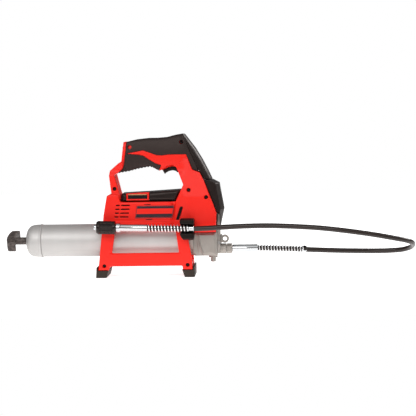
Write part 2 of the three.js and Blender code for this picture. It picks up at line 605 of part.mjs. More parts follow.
add('eye_bolt', join(
  bar(1.6, -19, -12, 'y', [EYE_BOLT[0], 0, EYE_BOLT[1]], 12),
  bar(3.1, -20.2, -17.3, 'y', [EYE_BOLT[0], 0, EYE_BOLT[1]], 6),
), 'steel');

// ---- Barrel, end cap, follower and rod ----------------------------------------------------------
const onBarrel = (solid) => solid.translate([0, 0, BARREL_Z]);
add('barrel', onBarrel(turned([[26.8, BARREL_LEFT], [27.8, BARREL_LEFT], [27.8, CAP_RIM_X - 1],
  [BARREL_R, CAP_RIM_X - 1], [BARREL_R, BARREL_RIGHT], [BARREL_BORE, BARREL_RIGHT],
  [BARREL_BORE, CAP_RIM_X + 1], [26.8, CAP_RIM_X]], 'x', [0, 0, 0], 36)), 'barrel');
add('end_cap', onBarrel(turned([[28.4, CAP_RIM_X - 1.4], [CAP_R, CAP_RIM_X - 1.4], [CAP_R, CAP_RIM_X - 3.6],
  [29.3, CAP_RIM_X - 5], [29.1, -148], [28.3, -153.5], [26.4, -158.8], [21.5, -163.2],
  [14.5, -166], [6.2, -167.2], [3.6, -167.2], [3.6, -164.4], [13.5, -163.2], [19.5, -160.6],
  [24, -156.6], [26.4, -151], [27.2, -147.6], [28.4, -147.3]], 'x', [0, 0, 0], 32)), 'barrel');
add('follower_rod', onBarrel(bar(3, -183, 62, 'x', [0, 0, 0], 16)), 'steel');
add('follower', onBarrel(turned([[3.4, -108], [14, -106], [26, -106], [26.3, -102], [26.3, -114],
  [24.6, -114], [24.6, -109.6], [3.4, -110]], 'x', [0, 0, 0], 24)), 'rubber');
add('follower_spring', onBarrel(ring(22, 20.4, -156, -110.6, 'x', [0, 0, 0], 24)), 'steel');

// The handle's bar is bowed: it leans towards the cap at both ends.
const T_HALF = 27;
const T_HIGH = 19;
const T_LEFT = -202;
const T_RIGHT = -187.4;
const bow = (y) => 5.2 * (y / T_HALF) ** 2;
const tStations = [-T_HALF, -20, -12, 0, 12, 20, T_HALF];
const tHandleOutline = [
  ...tStations.map((y) => [T_LEFT + bow(y), y]),
  ...tStations.map((y) => [T_RIGHT + bow(y), y]).reverse(),
];
const tHandleBar = solidOf(extruded(shapeOf(tHandleOutline), T_HIGH, 2.2, 2).translate(0, 0, -T_HIGH / 2));
add('t_handle', onBarrel(cut(
  join(tHandleBar, bar(6.7, -192, -167.6, 'x', [0, 0, 0], 20)),
  bar(3.25, -183.5, -160, 'x', [0, 0, 0], 16),
).rotate([18, 0, 0])), 'black');

// ---- Whip hose ----------------------------------------------------------------------------------
const couplerTurn = new THREE.Euler(0, THREE.MathUtils.degToRad(180 + COUPLER_TILT), 0);
const coupler = new THREE.Group();
coupler.position.set(COUPLER_RIGHT, SIDE_Y, COUPLER_Z);
coupler.rotation.copy(couplerTurn);
gun.add(coupler);
const alongCoupler = (distance) => {
  const point = new THREE.Vector3(distance, 0, 0).applyEuler(couplerTurn);
  return point.add(coupler.position);
};

const HOSE_ROUTE = [
  [212, 0, 46.9], [240, 0, 46.8], [270, 0.8, 46], [300, 3, 44.6], [330, 6.5, 42.6], [365, 11.2, 40.4],
  [400, 15.6, 38.6], [430, 18.2, 37.6], [460, 17.6, 37.2], [486, 12, 38.2], [506, 1.4, 41], [517.6, -12, 46],
  [521, -27, 52.2], [517, -42, 57.8], [505, -54.4, 62.6], [484, -63.6, 67.4], [455, -70.2, 73.4],
  [415, -73.8, 80], [357, -72.8, 87.2], [306, -68.4, 90.4], [264, -63.4, 91.6], [222, -58, 90.8],
  [184, -54.4, 89], [160, -53.2, 87.8],
];
const routePoints = [
  ...HOSE_ROUTE.map(([x, y, z]) => new THREE.Vector3(x, y, z)),
  ...[0, 30, 60, 88, 116].map(alongCoupler),
];
const hoseCurve = new THREE.CatmullRomCurve3(routePoints, false, 'centripetal');
add('hose', tubeAlong(hoseCurve, 60, HOSE_R, 0, 8), 'black');

add('gun_ferrule', cut(
  turned([[0, ADAPTER_END + GAP], [6, ADAPTER_END + GAP], [6.6, ADAPTER_END + 1.2], [6.6, FERRULE_END - 1],
    [6, FERRULE_END], [0, FERRULE_END]], 'x', [0, 0, OUTLET_Z], 20),
  bar(2, 190, 230, 'x', [0, 0, OUTLET_Z], 12),
  bar(HOSE_BORE_R, 211, 300, 'x', [0, 0, OUTLET_Z], 20),
), 'zinc');

function curveBetween(points) {
  return new THREE.CatmullRomCurve3(points, false, 'centripetal');
}
const gunGuardCurve = curveBetween([
  new THREE.Vector3(FERRULE_END + GAP, 0.1, 46.7), ...routePoints.slice(2, 4),
  new THREE.Vector3(GUARD_END, 6.4, 42.65)]);
add('gun_spring_guard', tubeAlong(gunGuardCurve, 6, 5.9, HOSE_BORE_R + 0.3, 12), 'steel');
const gunCollar = new THREE.Group();
gunCollar.position.set(GUARD_END + 0.6, 6.5, 42.6);
const gunCollarAxis = new THREE.Vector3(35, 4.6, -2.1).normalize();
gunCollar.quaternion.setFromUnitVectors(new THREE.Vector3(1, 0, 0), gunCollarAxis);
gun.add(gunCollar);
add('gun_collar', ring(5.6, HOSE_BORE_R, 0, COLLAR_LENGTH, 'x', [0, 0, 0], 16), 'zinc', gunCollar);

add('coupler_collar', ring(5.7, HOSE_BORE_R, 0, 9.6, 'x', [0, 0, 0], 16), 'zinc', coupler);
add('coupler_spring_guard', ring(7.2, HOSE_BORE_R + 0.5, 10, 81.4, 'x', [0, 0, 0], 20), 'steel', coupler);
add('coupler_ferrule', turned([[HOSE_BORE_R, 81.8], [6.6, 81.8], [6.6, 127.5], [8.6, 130], [8.6, 136.2],
  [7.4, 137.4], [2, 137.4], [2, 117], [HOSE_BORE_R, 117]], 'x', [0, 0, 0], 20), 'zinc', coupler);
add('coupler_body', turned([[2, 137.8], [6, 137.8], [6, 146], [5, 148], [5, 171], [4.9, 175.8], [3.6, 175.8],
  [3.6, 166], [2, 164]], 'x', [0, 0, 0], 16), 'zinc', coupler);
add('coupler_sleeve', turned([[6.3, 138.4], [10.6, 137.8], [11.9, 139.2], [11.9, 168], [9.6, 171], [5.4, 171],
  [5.4, 148.6], [6.3, 146.4]], 'x', [0, 0, 0], 20), 'rubber', coupler);

// ---- Screws that hold the shells together -------------------------------------------------------
for (const [place, [x, z, half]] of Object.entries(SCREWS)) {
  const head = -half + SCREW_SINK;
  const length = Math.min(2 * half - SCREW_SINK - 6, 34);
  add(`screw_${place}`, cut(
    join(
      bar(SCREW_HEAD_R, head, head + 2.3, 'y', [x, 0, z], 12),
      bar(1.55, head + 1, head + length, 'y', [x, 0, z], 8),
    ),
    bar(1.4, head - 2, head + 1.4, 'y', [x, 0, z], 6),
  ), 'steel');
}

export default gun;
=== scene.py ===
import json
import math

import bmesh
import bpy
import numpy as np
from mathutils import Matrix, Vector

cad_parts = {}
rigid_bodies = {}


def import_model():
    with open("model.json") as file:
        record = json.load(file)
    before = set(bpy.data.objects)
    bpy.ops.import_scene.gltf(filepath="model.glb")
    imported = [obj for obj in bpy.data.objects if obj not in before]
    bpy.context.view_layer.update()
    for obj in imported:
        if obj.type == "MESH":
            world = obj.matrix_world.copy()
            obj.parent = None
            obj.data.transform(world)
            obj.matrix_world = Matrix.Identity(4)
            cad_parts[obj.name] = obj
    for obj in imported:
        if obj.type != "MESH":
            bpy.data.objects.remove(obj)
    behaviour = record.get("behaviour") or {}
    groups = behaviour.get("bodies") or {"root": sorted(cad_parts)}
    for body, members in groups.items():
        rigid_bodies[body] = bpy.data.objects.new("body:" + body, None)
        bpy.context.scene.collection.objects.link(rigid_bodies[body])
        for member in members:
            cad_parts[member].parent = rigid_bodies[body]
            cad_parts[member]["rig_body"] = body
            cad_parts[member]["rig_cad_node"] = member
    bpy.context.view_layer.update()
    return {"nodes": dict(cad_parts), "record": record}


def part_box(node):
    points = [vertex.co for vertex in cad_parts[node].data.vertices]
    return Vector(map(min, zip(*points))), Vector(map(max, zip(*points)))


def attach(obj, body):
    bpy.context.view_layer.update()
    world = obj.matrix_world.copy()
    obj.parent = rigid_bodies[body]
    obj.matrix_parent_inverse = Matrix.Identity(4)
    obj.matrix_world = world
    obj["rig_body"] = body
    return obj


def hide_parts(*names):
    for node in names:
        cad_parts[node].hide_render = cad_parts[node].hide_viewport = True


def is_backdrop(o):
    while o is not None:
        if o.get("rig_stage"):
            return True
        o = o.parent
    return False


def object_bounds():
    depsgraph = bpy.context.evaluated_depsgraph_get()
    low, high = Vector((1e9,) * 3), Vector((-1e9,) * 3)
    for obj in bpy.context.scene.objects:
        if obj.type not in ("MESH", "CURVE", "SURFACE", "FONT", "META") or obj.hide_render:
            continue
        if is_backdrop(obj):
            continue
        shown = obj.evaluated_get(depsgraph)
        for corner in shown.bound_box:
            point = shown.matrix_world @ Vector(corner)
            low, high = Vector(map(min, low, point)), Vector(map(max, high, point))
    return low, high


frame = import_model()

# Looks of a cordless grease gun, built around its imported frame. Lengths below are in millimetres in
# the gun's own plane: x along the barrel, y across from the middle plane, z up from the floor.
# place() turns them into the frame's metres.
MM = 0.001
NODES = frame["nodes"]
FOOT_LOW, FOOT_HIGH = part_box("foot_rear")
MIDDLE_Y = (FOOT_LOW.y + FOOT_HIGH.y) / 2
FINE = 1.0       # how much coarser the moulded meshes are while trying things


def place(x, y, z):
    return Vector((x * MM, MIDDLE_Y + y * MM, z * MM))


def middle(node):
    low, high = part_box(node)
    return (low + high) / 2


# ---- Camera --------------------------------------------------------------------------------------
TARGET = place(160, 0, 119.4)
DISTANCE = 2.6
YAW, LIFT, ROLL = math.radians(2.5), math.radians(4.0), math.radians(0.95)
LENS = 126.06


def make_camera():
    data = bpy.data.cameras.new("camera")
    data.lens = LENS
    data.sensor_width = 36
    data.clip_start, data.clip_end = 0.05, 50
    camera = bpy.data.objects.new("camera", data)
    bpy.context.scene.collection.objects.link(camera)
    bpy.context.scene.camera = camera
    forward = Vector((-math.sin(YAW) * math.cos(LIFT), math.cos(YAW) * math.cos(LIFT), -math.sin(LIFT)))
    right = Vector((math.cos(YAW), math.sin(YAW), 0))
    up = right.cross(forward)
    rolled_right = right * math.cos(ROLL) - up * math.sin(ROLL)
    rolled_up = up * math.cos(ROLL) + right * math.sin(ROLL)
    turn = Matrix((rolled_right, rolled_up, -forward)).transposed()
    camera.matrix_world = Matrix.Translation(TARGET - forward * DISTANCE) @ turn.to_4x4()


make_camera()


# ---- Node trees ----------------------------------------------------------------------------------
class Tree:
    """A material's node tree, with short calls for the nodes that the materials below share."""

    def __init__(self, name):
        self.material = bpy.data.materials.new(name)
        self.material.use_nodes = True
        self.nodes = self.material.node_tree.nodes
        self.links = self.material.node_tree.links
        self.shader = self.nodes["Principled BSDF"]
        self.where = self.nodes.new("ShaderNodeTexCoord").outputs["Object"]

    def link(self, source, target):
        self.links.new(source, target)
        return target

    def set(self, **values):
        for name, value in values.items():
            self.shader.inputs[name.replace("_", " ")].default_value = value
        return self

    def stretched(self, scale):
        node = self.nodes.new("ShaderNodeMapping")
        node.inputs["Scale"].default_value = scale
        self.link(self.where, node.inputs["Vector"])
        return node.outputs["Vector"]

    def noise(self, scale, detail=3.0, where=None, rough=0.5):
        node = self.nodes.new("ShaderNodeTexNoise")
        node.inputs["Scale"].default_value = scale
        node.inputs["Detail"].default_value = detail
        node.inputs["Roughness"].default_value = rough
        self.link(where or self.where, node.inputs["Vector"])
        return node.outputs["Fac"]

    def cells(self, scale):
        node = self.nodes.new("ShaderNodeTexVoronoi")
        node.inputs["Scale"].default_value = scale
        self.link(self.where, node.inputs["Vector"])
        return node.outputs["Distance"]

    def ramp(self, value, stops):
        node = self.nodes.new("ShaderNodeValToRGB")
        ramp = node.color_ramp
        while len(ramp.elements) < len(stops):
            ramp.elements.new(0.5)
        for element, (at, colour) in zip(ramp.elements, stops):
            element.position = at
            element.color = (*colour, 1)
        self.link(value, node.inputs["Fac"])
        return node.outputs["Color"]

    def spread(self, value, low, high):
        node = self.nodes.new("ShaderNodeMapRange")
        node.inputs["To Min"].default_value = low
        node.inputs["To Max"].default_value = high
        self.link(value, node.inputs["Value"])
        return node.outputs["Result"]

    def mix(self, share, first, second):
        node = self.nodes.new("ShaderNodeMix")
        node.data_type = "RGBA"
        self.link(share, node.inputs["Factor"])
        for socket, value in ((node.inputs["A"], first), (node.inputs["B"], second)):
            if isinstance(value, tuple):
                socket.default_value = (*value, 1)
            else:
                self.link(value, socket)
        return node.outputs["Result"]

    def bump(self, height, strength, depth):
        node = self.nodes.new("ShaderNodeBump")
        node.inputs["Strength"].default_value = strength
        node.inputs["Distance"].default_value = depth
        self.link(height, node.inputs["Height"])
        return node.outputs["Normal"]

    def colour(self, value):
        self.link(value, self.shader.inputs["Base Color"])
        return self

    def roughness(self, value):
        self.link(value, self.shader.inputs["Roughness"])
        return self

    def normal(self, value):
        self.link(value, self.shader.inputs["Normal"])
        return self


def moulded(name, colour, dark, roughness, grain=900, grain_depth=0.00006):
    """Moulded plastic or rubber: slow colour drift, fine grain, and dusty or polished patches."""
    tree = Tree(name)
    drift = tree.noise(14, 2)
    tree.colour(tree.mix(drift, dark, colour))
    tree.roughness(tree.spread(tree.noise(60, 4), roughness - 0.07, roughness + 0.07))
    tree.normal(tree.bump(tree.noise(grain, 2), 0.25, grain_depth))
    return tree


WARM_SHEEN = (1.0, 0.84, 0.78, 1)        # the black plastics and rubbers shine a little brown


def red_plastic():
    tree = moulded("red_plastic", (0.97, 0.024, 0.012), (0.92, 0.015, 0.008), 0.42)
    tree.set(Specular_IOR_Level=0.25, Coat_Weight=0.04, Coat_Roughness=0.3)
    return tree.material


def grip_rubber():
    tree = moulded("grip_rubber", (0.026, 0.016, 0.0145), (0.012, 0.0075, 0.007), 0.52, 1500, 0.0001)
    tree.set(Specular_IOR_Level=0.4, Specular_Tint=WARM_SHEEN)
    return tree.material


def black_plastic():
    tree = moulded("black_plastic", (0.016, 0.01, 0.009), (0.009, 0.006, 0.0055), 0.38, 1200)
    tree.set(Specular_IOR_Level=0.3, Specular_Tint=WARM_SHEEN)
    return tree.material


def foot_rubber():
    tree = moulded("foot_rubber", (0.032, 0.026, 0.02), (0.02, 0.016, 0.012), 0.6, 700, 0.00012)
    tree.set(Specular_IOR_Level=0.35, Specular_Tint=WARM_SHEEN)
    return tree.material


def clip_plastic():
    tree = moulded("clip_plastic", (0.011, 0.009, 0.008), (0.006, 0.005, 0.005), 0.36, 800)
    tree.set(Specular_IOR_Level=0.18, Specular_Tint=WARM_SHEEN)
    return tree.material


def sleeve_rubber():
    tree = moulded("sleeve_rubber", (0.009, 0.007, 0.006), (0.005, 0.004, 0.004), 0.2, 1400, 0.0001)
    tree.set(Specular_IOR_Level=0.4, Specular_Tint=WARM_SHEEN)
    return tree.material


def handle_plastic():
    tree = Tree("handle_plastic")
    worn = tree.noise(180, 5, rough=0.7)
    tree.colour(tree.ramp(worn, [(0.36, (0.02, 0.014, 0.012)), (0.62, (0.12, 0.092, 0.082))]))
    tree.roughness(tree.spread(tree.noise(240, 4), 0.42, 0.62))
    tree.normal(tree.bump(tree.cells(700), 0.35, 0.0002))
    return tree.material


def hose_rubber():
    tree = Tree("hose_rubber")
    tree.colour(tree.mix(tree.noise(30, 3), (0.009, 0.005, 0.004), (0.018, 0.011, 0.008)))
    tree.roughness(tree.spread(tree.noise(90, 3), 0.3, 0.42))
    tree.normal(tree.bump(tree.noise(500, 2), 0.15, 0.00006))
    tree.set(Specular_IOR_Level=0.2, Specular_Tint=WARM_SHEEN, Coat_Weight=0.55, Coat_Roughness=0.08)
    return tree.material


def metal(name, bright, dull, rough_low, rough_high, grain, stretch=(1, 1, 1), depth=0.00003):
    tree = Tree(name)
    along = tree.stretched(stretch)
    streaks = tree.noise(grain, 4, along)
    clouds = tree.noise(16, 3)
    tree.colour(tree.mix(clouds, dull, bright))
    tree.roughness(tree.spread(streaks, rough_low, rough_high))
    tree.normal(tree.bump(streaks, 0.2, depth))
    tree.set(Metallic=1.0)
    return tree.material


def barrel_metal():
    tree = Tree("barrel_metal")
    streaks = tree.noise(220, 4, tree.stretched((6, 1, 1)))
    bands = tree.noise(26, 3, tree.stretched((1, 0.15, 0.15)))
    clouds = tree.mix(tree.noise(22, 4), (0.46, 0.437, 0.42), (0.55, 0.532, 0.52))
    tree.colour(tree.mix(bands, clouds, (0.6, 0.586, 0.572)))
    tree.roughness(tree.spread(streaks, 0.46, 0.58))
    tree.normal(tree.bump(tree.noise(1600, 3), 0.2, 0.00005))
    tree.set(Metallic=0.55)
    return tree.material


def cast_aluminium():
    tree = Tree("cast_aluminium")
    pits = tree.noise(420, 5, rough=0.7)
    tree.colour(tree.mix(tree.noise(40, 4), (0.3, 0.272, 0.243), (0.47, 0.434, 0.4)))
    tree.roughness(tree.spread(pits, 0.42, 0.62))
    tree.normal(tree.bump(pits, 0.35, 0.00022))
    tree.set(Metallic=0.8)
    return tree.material


def gauge_lens():
    tree = Tree("gauge_lens")
    tree.colour(tree.mix(tree.noise(80, 2), (0.006, 0.005, 0.006), (0.022, 0.018, 0.018)))
    tree.roughness(tree.spread(tree.noise(300, 2), 0.2, 0.3))
    tree.set(Specular_IOR_Level=0.35)
    return tree.material


def amber_strip():
    tree = Tree("amber_strip")
    tree.colour(tree.mix(tree.noise(260, 3), (0.62, 0.22, 0.09), (0.85, 0.42, 0.2)))
    tree.roughness(tree.spread(tree.noise(400, 2), 0.25, 0.4))
    return tree.material


def plate_grey():
    tree = Tree("plate_grey")
    tree.colour(tree.mix(tree.noise(120, 3), (0.05, 0.04, 0.05), (0.12, 0.1, 0.115)))
    tree.roughness(tree.spread(tree.noise(500, 3), 0.25, 0.4))
    tree.set(Metallic=0.4)
    return tree.material


def plate_dark():
    tree = Tree("plate_dark")
    worn = tree.noise(150, 4, tree.stretched((0.3, 1, 3)))
    tree.colour(tree.mix(worn, (0.008, 0.006, 0.008), (0.05, 0.038, 0.048)))
    tree.roughness(tree.spread(tree.noise(500, 3), 0.35, 0.48))
    tree.set(Specular_IOR_Level=0.3)
    return tree.material


def contact_brass():
    return metal("contact_brass", (0.78, 0.6, 0.28), (0.6, 0.44, 0.2), 0.25, 0.4, 700)


MATERIALS = {
    "red_plastic": red_plastic(),
    "grip_rubber": grip_rubber(),
    "black_plastic": black_plastic(),
    "foot_rubber": foot_rubber(),
    "clip_plastic": clip_plastic(),
    "sleeve_rubber": sleeve_rubber(),
    "handle_plastic": handle_plastic(),
    "hose_rubber": hose_rubber(),
    "barrel_metal": barrel_metal(),
    "cast_aluminium": cast_aluminium(),
    "gauge_lens": gauge_lens(),
    "nameplate": plate_grey(),
    "contact_brass": contact_brass(),
    "black_steel": metal("black_steel", (0.05, 0.048, 0.047), (0.02, 0.019, 0.019), 0.35, 0.5, 600),
    "steel": metal("steel", (0.44, 0.425, 0.41), (0.3, 0.285, 0.275), 0.25, 0.42, 500),
    "zinc_plate": metal("zinc_plate", (0.69, 0.7, 0.71), (0.59, 0.605, 0.615), 0.08, 0.16, 300,
                        (0.2, 1, 1), 0.000002),
    "guard_steel": metal("guard_steel", (0.92, 0.92, 0.92), (0.82, 0.82, 0.82), 0.2, 0.34, 400),
}
AMBER, PLATE_DARK = amber_strip(), plate_dark()
SLOT_OF = {part["node"]: part["material_slot"] for part in frame["record"]["subparts"]}


# ---- Mesh building -------------------------------------------------------------------------------
def soft_edges(obj, angle=32):
    """Smooth shading, kept sharp where two faces meet at more than angle degrees."""
    work = bmesh.new()
    work.from_mesh(obj.data)
    for face in work.faces:
        face.smooth = True
    for edge in work.edges:
        edge.smooth = len(edge.link_faces) == 2 and edge.calc_face_angle(0) < math.radians(angle)
    work.to_mesh(obj.data)
    work.free()
    return obj


def new_piece(name, points, faces, material, angle=32):
    mesh = bpy.data.meshes.new(name)
    mesh.from_pydata([tuple(p) for p in points], [], faces)
    obj = bpy.data.objects.new(name, mesh)
    bpy.context.scene.collection.objects.link(obj)
    work = bmesh.new()
    work.from_mesh(mesh)
    bmesh.ops.remove_doubles(work, verts=work.verts, dist=1e-7)
    bmesh.ops.recalc_face_normals(work, faces=work.faces)
    work.to_mesh(mesh)
    work.free()
    obj.data.materials.append(material)
    return soft_edges(obj, angle)


def finish_piece(obj, body, slot, *nodes):
    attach(obj, body)
    if nodes:
        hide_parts(*nodes)
    return obj


def rounded(points, radius, steps=4, closed=False):
    """The same outline with each corner turned into an arc of about that radius."""
    out = []
    count = len(points)
    for i, corner in enumerate(points):
        if not closed and i in (0, count - 1):
            out.append(tuple(corner))
            continue
        here = Vector(corner)
        back = Vector(points[i - 1]) - here
        ahead = Vector(points[(i + 1) % count]) - here
        reach = min(radius, back.length * 0.45, ahead.length * 0.45)
        start, end = here + back.normalized() * reach, here + ahead.normalized() * reach
        for step in range(steps + 1):
            t = step / steps
            out.append(tuple(start.lerp(here, t).lerp(here.lerp(end, t), t)))
    return out


def lathe(name, profile, origin, axis, material, sides=64, shape=None):
    """A profile of (radius, place along the axis) in mm, turned about an axis through origin."""
    axis = Vector(axis).normalized()
    side = axis.orthogonal().normalized()
    other = axis.cross(side)
    points, faces = [], []
    for radius, along in profile:
        for i in range(sides):
            turn = 2 * math.pi * i / sides
            r = shape(radius, along, turn) if shape else radius
            out = side * math.cos(turn) + other * math.sin(turn)
            points.append(origin + (axis * along + out * max(r, 0)) * MM)
    for ring in range(len(profile) - 1):
        for i in range(sides):
            j = (i + 1) % sides
            a, b = ring * sides, (ring + 1) * sides
            faces.append((a + i, a + j, b + j, b + i))
    first, last = profile[0], profile[-1]
    if first != last:
        faces.append(tuple(range(sides - 1, -1, -1)))
        faces.append(tuple(range((len(profile) - 1) * sides, len(profile) * sides)))
    return new_piece(name, points, faces, material)


def applied(obj, build):
    """Adds the modifiers that build makes, applies them and returns obj with the new mesh."""
    build(obj)
    bpy.context.view_layer.update()
    graph = bpy.context.evaluated_depsgraph_get()
    mesh = bpy.data.meshes.new_from_object(obj.evaluated_get(graph))
    obj.modifiers.clear()
    old = obj.data
    obj.data = mesh
    if old.users == 0:
        bpy.data.meshes.remove(old)
    return obj


def moulding(name, node, voxel, rounds, keep=1.0, sculpt=None, again=0):
    """A moulded or cast piece: the CAD solid with every edge softened and its faces shaped by sculpt.

    voxel is the mesh size in mm, rounds the smoothing passes before sculpt, again those after it, and
    keep the share of faces left at the end."""
    obj = NODES[node].copy()
    obj.data = NODES[node].data.copy()
    obj.name = name
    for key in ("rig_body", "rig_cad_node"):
        if key in obj:
            del obj[key]
    obj.parent = None
    bpy.context.scene.collection.objects.link(obj)

    def grid(o):
        remesh = o.modifiers.new("grid", "REMESH")
        remesh.mode = "VOXEL"
        remesh.voxel_size = voxel * FINE * MM
        smooth = o.modifiers.new("soft", "SMOOTH")
        smooth.factor = 0.5
        smooth.iterations = rounds

    applied(obj, grid)
    if sculpt:
        places = np.empty(len(obj.data.vertices) * 3)
        obj.data.vertices.foreach_get("co", places)
        places = places.reshape(-1, 3) / MM
        places[:, 1] -= MIDDLE_Y / MM
        sculpt(places)
        places[:, 1] += MIDDLE_Y / MM
        obj.data.vertices.foreach_set("co", (places * MM).ravel())
        obj.data.update()

    def thin(o):
        if again:
            smooth = o.modifiers.new("soft", "SMOOTH")
            smooth.factor = 0.5
            smooth.iterations = again
        if keep < 1:
            less = o.modifiers.new("less", "DECIMATE")
            less.ratio = keep
        o.modifiers.new("faces", "WEIGHTED_NORMAL").keep_sharp = False

    obj.data.polygons.foreach_set("use_smooth", [True] * len(obj.data.polygons))
    applied(obj, thin)
    obj.data.materials.clear()
    obj.data.materials.append(MATERIALS[SLOT_OF[node]])
    body = next(b for b, names in frame["record"]["behaviour"]["bodies"].items() if node in names)
    return finish_piece(obj, body, SLOT_OF[node], node)


# ---- Whip hose: the same route as its CAD solid --------------------------------------------------
HOSE_ROUTE = [
    (212, 0, 46.9), (240, 0, 46.8), (270, 0.8, 46), (300, 3, 44.6), (330, 6.5, 42.6), (365, 11.2, 40.4),
    (400, 15.6, 38.6), (430, 18.2, 37.6), (460, 17.6, 37.2), (486, 12, 38.2), (506, 1.4, 41),
    (517.6, -12, 46), (521, -27, 52.2), (517, -42, 57.8), (505, -54.4, 62.6), (484, -63.6, 67.4),
    (455, -70.2, 73.4), (415, -73.8, 80), (357, -72.8, 87.2), (306, -68.4, 90.4), (264, -63.4, 91.6),
    (222, -58, 90.8), (184, -54.4, 89), (160, -53.2, 87.8),
]
HOSE_R = 4.5
HOSE_ROOM = 4.85                         # bore of the fittings that the hose runs into
COUPLER_START = place(136.9, -53, 87.2)
COUPLER_TILT = math.radians(180 + 1.4)
COUPLER_AXIS = Vector((math.cos(COUPLER_TILT), 0, -math.sin(COUPLER_TILT)))
COUPLER_STOPS = (0, 30, 60, 88, 116)     # places along the coupler where the hose still runs inside it


def centripetal(points, per_span=10):
    """Centripetal Catmull-Rom curve through points, the curve that the CAD solid follows."""
    ends = [points[0] * 2 - points[1], *points, points[-1] * 2 - points[-2]]
    out = []
    for i in range(1, len(ends) - 2):
        p = ends[i - 1:i + 3]
        knots = [0.0]
        for a, b in zip(p, p[1:]):
            knots.append(knots[-1] + math.sqrt((b - a).length))
        for step in range(per_span):
            t = knots[1] + (knots[2] - knots[1]) * step / per_span
            low = [p[k].lerp(p[k + 1], (t - knots[k]) / (knots[k + 1] - knots[k])) for k in range(3)]
            mid = [low[k].lerp(low[k + 1], (t - knots[k]) / (knots[k + 2] - knots[k])) for k in range(2)]
            out.append(mid[0].lerp(mid[1], (t - knots[1]) / (knots[2] - knots[1])))
    return [*out, points[-1].copy()]


ROUTE = [place(*p) for p in HOSE_ROUTE] + [COUPLER_START + COUPLER_AXIS * d * MM for d in COUPLER_STOPS]
HOSE_LINE = centripetal(ROUTE)


def whip_hose():
    data = bpy.data.curves.new("whip_hose", "CURVE")
    data.dimensions = "3D"
    data.bevel_depth = HOSE_R * MM
    data.bevel_resolution = 8
    data.use_fill_caps = True
    spline = data.splines.new("POLY")
    spline.points.add(len(HOSE_LINE) - 1)
    for slot, p in zip(spline.points, HOSE_LINE):
        slot.co = (*p, 1)
    spline.use_smooth = True
    hose = bpy.data.objects.new("whip_hose", data)
    bpy.context.scene.collection.objects.link(hose)
    data.materials.append(MATERIALS["hose_rubber"])
    return finish_piece(hose, "frame", "hose_rubber", "hose")


hose = whip_hose()


def sweep(name, line, section, material, outs):
    """A section of (outwards, along) points in mm, carried along line and turned by the directions outs."""
    points, faces = [], []
    count = len(section)
    for i, p in enumerate(line):
        ahead = (line[min(i + 1, len(line) - 1)] - line[max(i - 1, 0)]).normalized()
        out = outs[i]
        wide = ahead.cross(out).normalized()
        for a, b in section:
            points.append(p + (out * a + wide * b) * MM)
    for i in range(len(line) - 1):
        for j in range(count):
            k = (j + 1) % count
            faces.append((i * count + j, i * count + k, (i + 1) * count + k, (i + 1) * count + j))
    faces.append(tuple(range(count - 1, -1, -1)))
    faces.append(tuple(range((len(line) - 1) * count, len(line) * count)))
    return new_piece(name, points, faces, material, 40)


def helix_around(core, radius, pitch, per_turn=28):
    """Points of a coil wound around the line core, with the directions away from it."""
    lengths = [0.0]
    for a, b in zip(core, core[1:]):
        lengths.append(lengths[-1] + (b - a).length / MM)
    total = lengths[-1]
    side = (core[1] - core[0]).orthogonal().normalized()
    line, outs = [], []
    at, turn, k = 0.0, 0.0, 0
    step = 2 * math.pi / per_turn
    while at < total:
        while k < len(lengths) - 2 and lengths[k + 1] < at:
            k += 1
        share = (at - lengths[k]) / (lengths[k + 1] - lengths[k])
        centre = core[k].lerp(core[k + 1], share)
        ahead = (core[k + 1] - core[k]).normalized()
        side = (side - ahead * side.dot(ahead)).normalized()
        out = side * math.cos(turn) + ahead.cross(side) * math.sin(turn)
        line.append(centre + out * radius * MM)
        outs.append(out)
        at += pitch / per_turn
        turn += step
    return line, outs


# ---- Spring guards, ferrules and coupler ---------------------------------------------------------
def coupler_lathe(name, profile, slot, node, sides=56, shape=None, body="frame"):
    obj = lathe(name, profile, COUPLER_START, COUPLER_AXIS, MATERIALS[slot], sides, shape)
    return finish_piece(obj, body, slot, node)


COUPLER_GUARD_R, COUPLER_GUARD_PITCH = 6.05, 5.65
GUN_GUARD_R, GUN_GUARD_PITCH = 5.25, 5.2


def wire_section(thick, wide, corner):
    """An upright rounded strip: half sizes outwards and along, in mm."""
    return rounded([(-thick, -wide), (thick, -wide), (thick, wide), (-thick, wide)], corner, 3, closed=True)


def coupler_guard():
    core = [COUPLER_START + COUPLER_AXIS * (10 + 71.4 * i / 60) * MM for i in range(61)]
    line, outs = helix_around(core, COUPLER_GUARD_R, COUPLER_GUARD_PITCH)
    obj = sweep("coupler_spring", line, wire_section(1.05, 1.15, 0.7), MATERIALS["guard_steel"], outs)
    return finish_piece(obj, "frame", "guard_steel", "coupler_spring_guard")


def gun_guard():
    low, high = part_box("gun_spring_guard")
    core = [p for p in HOSE_LINE[:60] if low.x <= p.x <= high.x]
    line, outs = helix_around(core, GUN_GUARD_R, GUN_GUARD_PITCH)
    obj = sweep("gun_spring", line, wire_section(0.65, 0.75, 0.5), MATERIALS["guard_steel"], outs)
    return finish_piece(obj, "frame", "guard_steel", "gun_spring_guard")


def collar(name, node, origin, axis, length, outer):
    profile = [(HOSE_ROOM, 0), (outer - 0.5, 0), (outer, 0.5), (outer, length - 1.4), (outer - 0.8, length),
               (HOSE_ROOM, length), (HOSE_ROOM, 0)]
    obj = lathe(name, profile, origin, axis, MATERIALS["zinc_plate"], 48)
    return finish_piece(obj, "frame", "zinc_plate", node)


def gun_collar():
    low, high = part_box("gun_collar")
    start = min(HOSE_LINE, key=lambda p: abs(p.x - low.x - 0.0006))
    end = min(HOSE_LINE, key=lambda p: abs(p.x - high.x - 0.02))
    return collar("gun_crimp_collar", "gun_collar", start, end - start, 6, 5.6)


